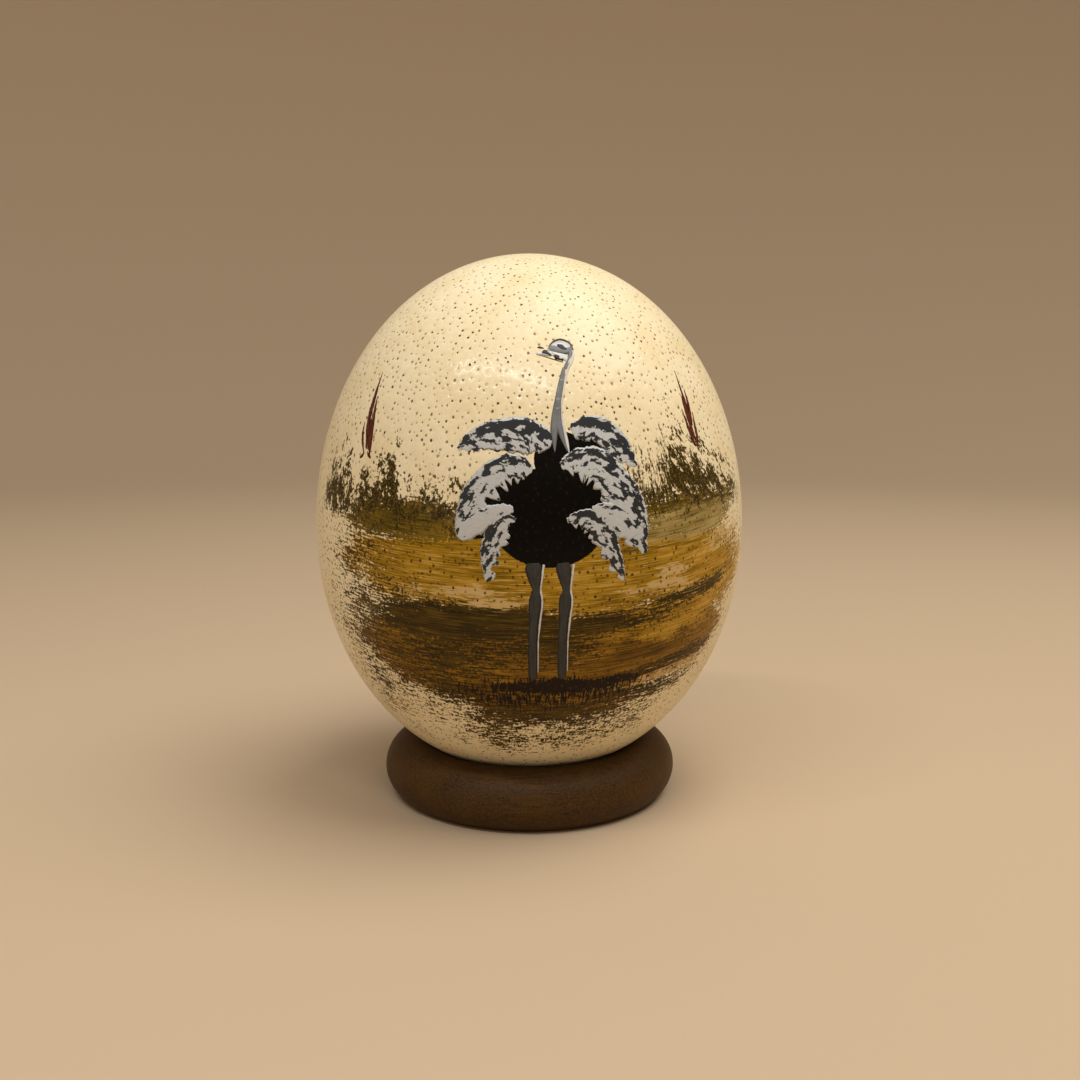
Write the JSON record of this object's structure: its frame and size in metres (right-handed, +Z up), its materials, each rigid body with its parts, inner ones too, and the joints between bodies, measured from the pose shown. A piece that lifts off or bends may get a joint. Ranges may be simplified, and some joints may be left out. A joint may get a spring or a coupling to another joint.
{
  "type": "painted ostrich egg on a wooden ring stand",
  "caption": "Varnished ostrich egg with a painted savanna picture, standing upright in a low turned wooden ring.",
  "frame": {"origin": "centre of the ring's flat underside, on the surface it stands on", "axes": "+Z up along the egg's long axis; the painted bird faces -Y, the side a viewer looks at; +X is the viewer's right"},
  "size_m": [0.1232, 0.1232, 0.1568],
  "materials": {
    "varnished_shell": "cream ostrich shell with fine dark pores, a painted savanna scene and a clear gloss varnish",
    "stained_wood": "turned hardwood, dark brown stain, matt"
  },
  "bodies": {
    "root": {"egg": "varnished_shell", "ring_stand": "stained_wood"}
  },
  "joints": []
}
